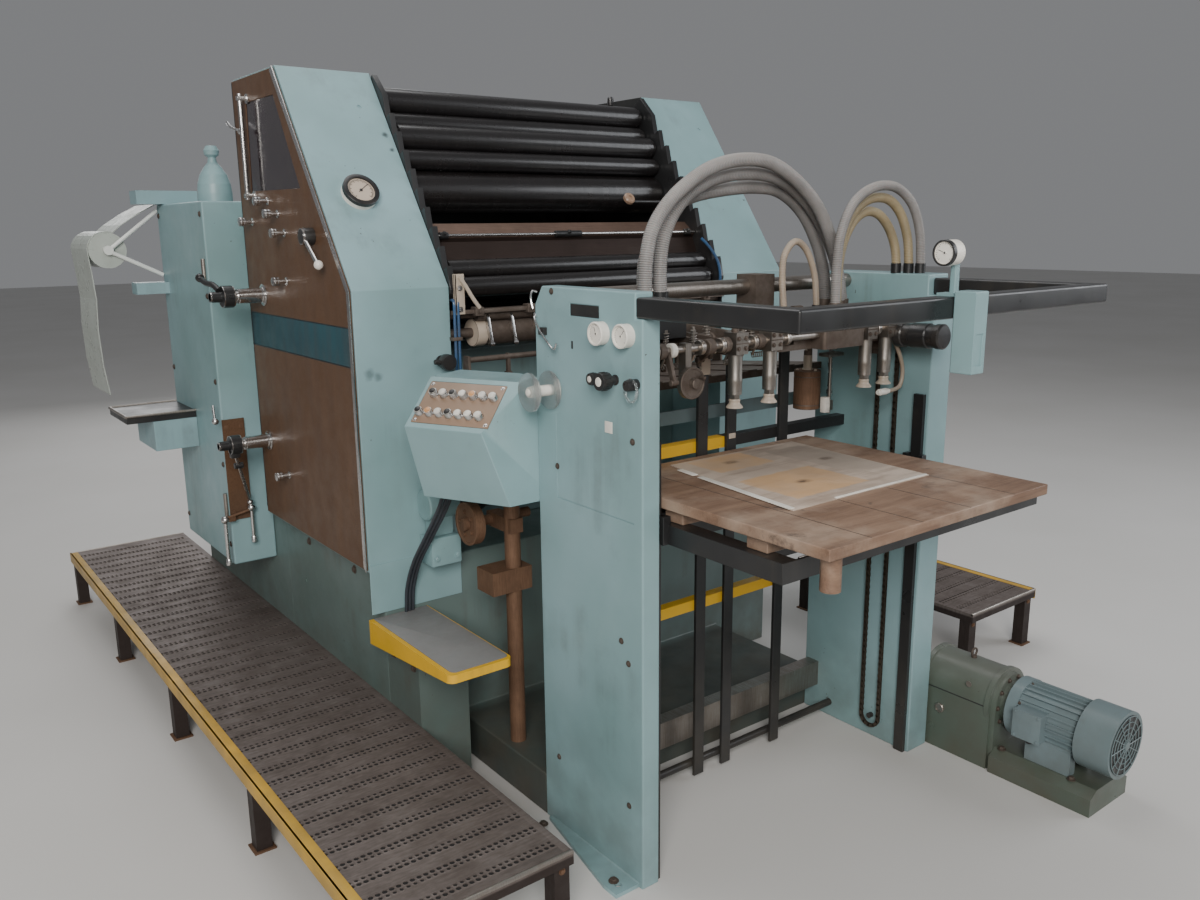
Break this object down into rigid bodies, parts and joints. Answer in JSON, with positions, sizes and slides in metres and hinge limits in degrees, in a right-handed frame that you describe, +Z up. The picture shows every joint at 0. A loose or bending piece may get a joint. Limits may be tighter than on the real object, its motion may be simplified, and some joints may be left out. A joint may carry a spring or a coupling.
{
  "type": "offset printing press",
  "caption": "Sheet-fed offset printing press: pile feeder with suction hoses and guard rail, printing unit with open ink rollers, footboard, delivery end, separate vacuum pump",
  "frame": {"origin": "on the floor under the middle of the printing unit, on the underside of its bed", "axes": "+X across the machine to the drive side (operator side is -X), +Y from feeder to delivery, +Z up"},
  "size_m": [2.7473, 3.51, 2],
  "materials": {
    "green_paint": "light blue-green machine enamel, worn and oily",
    "dark_green_paint": "the same enamel in shade, dirty",
    "black_paint": "black enamel, oily",
    "safety_yellow": "yellow safety paint, chipped",
    "bare_steel": "machined steel, oily",
    "step_steel": "worn tread sheet",
    "cast_grey": "cast grey metal, dusty",
    "rusty_steel": "brown oily steel",
    "chrome": "polished chrome",
    "gauge_white": "off-white dial and button",
    "black_plastic": "black plastic knob",
    "clear_plastic": "clear wheel",
    "light_paint": "pale grey enamel",
    "film_plastic": "translucent film",
    "worn_board": "worn pile board, ink-stained",
    "brown_laminate": "brown laminate",
    "smoked_glass": "dark glass",
    "copper_blade": "copper-brown tray, inky",
    "rubber_roller": "black rubber",
    "grey_hose": "ribbed grey hose",
    "pump_green": "dark green enamel, oily",
    "motor_grey": "grey-blue enamel"
  },
  "bodies": {
    "press": {"feeder_side_operator": "green_paint", "feeder_side_drive": "green_paint", "feeder_cross_tubes": "bare_steel", "guard_rail": "black_paint", "rail_switch_box": "green_paint", "gauges": "gauge_white", "control_knobs": "black_plastic", "setting_wheel": "clear_plastic", "air_valve_block": "black_paint", "front_guides": "black_paint", "cross_bars": "safety_yellow", "guide_rails": "black_paint", "hoist_chains": "bare_steel", "suction_head": "cast_grey", "sucker_shafts": "bare_steel", "feed_table": "bare_steel", "unit_bed": "dark_green_paint", "cabinet_operator": "green_paint", "cabinet_drive": "green_paint", "unit_covers": "dark_green_paint", "operator_panel": "brown_laminate", "window_glass": "smoked_glass", "panel_fittings": "chrome", "roller_brackets": "black_paint", "wash_tray": "copper_blade", "ink_fountain": "black_paint", "control_desk": "green_paint", "desk_buttons": "gauge_white", "step_plates": "step_steel", "footboards": "step_steel", "feeder_drive_post": "rusty_steel", "delivery_frames": "dark_green_paint", "delivery_covers": "green_paint", "delivery_housings": "green_paint", "oil_bell": "green_paint", "lever_plate": "brown_laminate", "side_tray": "black_paint", "band_holder": "light_paint", "film_band": "film_plastic", "vacuum_pump": "pump_green", "pump_motor": "motor_grey", "suction_hose_1": "grey_hose", "suction_hose_2": "grey_hose", "suction_hose_3": "grey_hose", "blower_hose_1": "grey_hose", "blower_hose_2": "grey_hose", "blower_hose_3": "grey_hose", "link_hose": "grey_hose"},
    "pile_table": {"pile_carrier": "black_paint", "pile_board": "worn_board"},
    "impression_lever_body": {"impression_lever": "chrome"},
    "ink_roller_1_body": {"ink_roller_1": "rubber_roller"},
    "ink_roller_2_body": {"ink_roller_2": "rubber_roller"},
    "ink_roller_3_body": {"ink_roller_3": "rubber_roller"},
    "ink_roller_4_body": {"ink_roller_4": "rubber_roller"},
    "ink_drum_body": {"ink_drum": "rubber_roller"},
    "damp_roller_1_body": {"damp_roller_1": "rubber_roller"},
    "damp_roller_2_body": {"damp_roller_2": "rubber_roller"}
  },
  "joints": [
    {"name": "ink_roller_1_spin", "type": "hinge", "parent": "press", "child": "ink_roller_1_body", "pos_m": [0, 0.03424, 1.92397], "axis": [1, 0, 0], "continuous": true},
    {"name": "ink_roller_2_spin", "type": "hinge", "parent": "press", "child": "ink_roller_2_body", "pos_m": [0, 0.0092, 1.85936], "axis": [1, 0, 0], "continuous": true},
    {"name": "ink_roller_3_spin", "type": "hinge", "parent": "press", "child": "ink_roller_3_body", "pos_m": [0, -0.04324, 1.81406], "axis": [1, 0, 0], "continuous": true},
    {"name": "ink_roller_4_spin", "type": "hinge", "parent": "press", "child": "ink_roller_4_body", "pos_m": [0, -0.06828, 1.74944], "axis": [1, 0, 0], "continuous": true},
    {"name": "ink_drum_spin", "type": "hinge", "parent": "press", "child": "ink_drum_body", "pos_m": [0, -0.0572, 1.6568], "axis": [1, 0, 0], "continuous": true},
    {"name": "damp_roller_1_spin", "type": "hinge", "parent": "press", "child": "damp_roller_1_body", "pos_m": [0, -0.31819, 1.43095], "axis": [1, 0, 0], "continuous": true},
    {"name": "damp_roller_2_spin", "type": "hinge", "parent": "press", "child": "damp_roller_2_body", "pos_m": [0, -0.35178, 1.3833], "axis": [1, 0, 0], "continuous": true},
    {"name": "pile_lift", "type": "slide", "parent": "press", "child": "pile_table", "axis": [0, 0, 1], "range_m": [-0.78, 0.15]},
    {"name": "impression_lever_turn", "type": "hinge", "parent": "press", "child": "impression_lever_body", "pos_m": [-0.83, -0.175, 1.53], "axis": [1, 0, 0], "range_deg": [-30, 30]}
  ],
  "couplings": [
    {"joint": "ink_roller_4_spin", "follows": "ink_drum_spin", "ratio": -2},
    {"joint": "ink_roller_3_spin", "follows": "ink_drum_spin", "ratio": 1.6316},
    {"joint": "ink_roller_2_spin", "follows": "ink_drum_spin", "ratio": -2},
    {"joint": "ink_roller_1_spin", "follows": "ink_drum_spin", "ratio": 1.6316},
    {"joint": "damp_roller_2_spin", "follows": "damp_roller_1_spin", "ratio": -1}
  ]
}
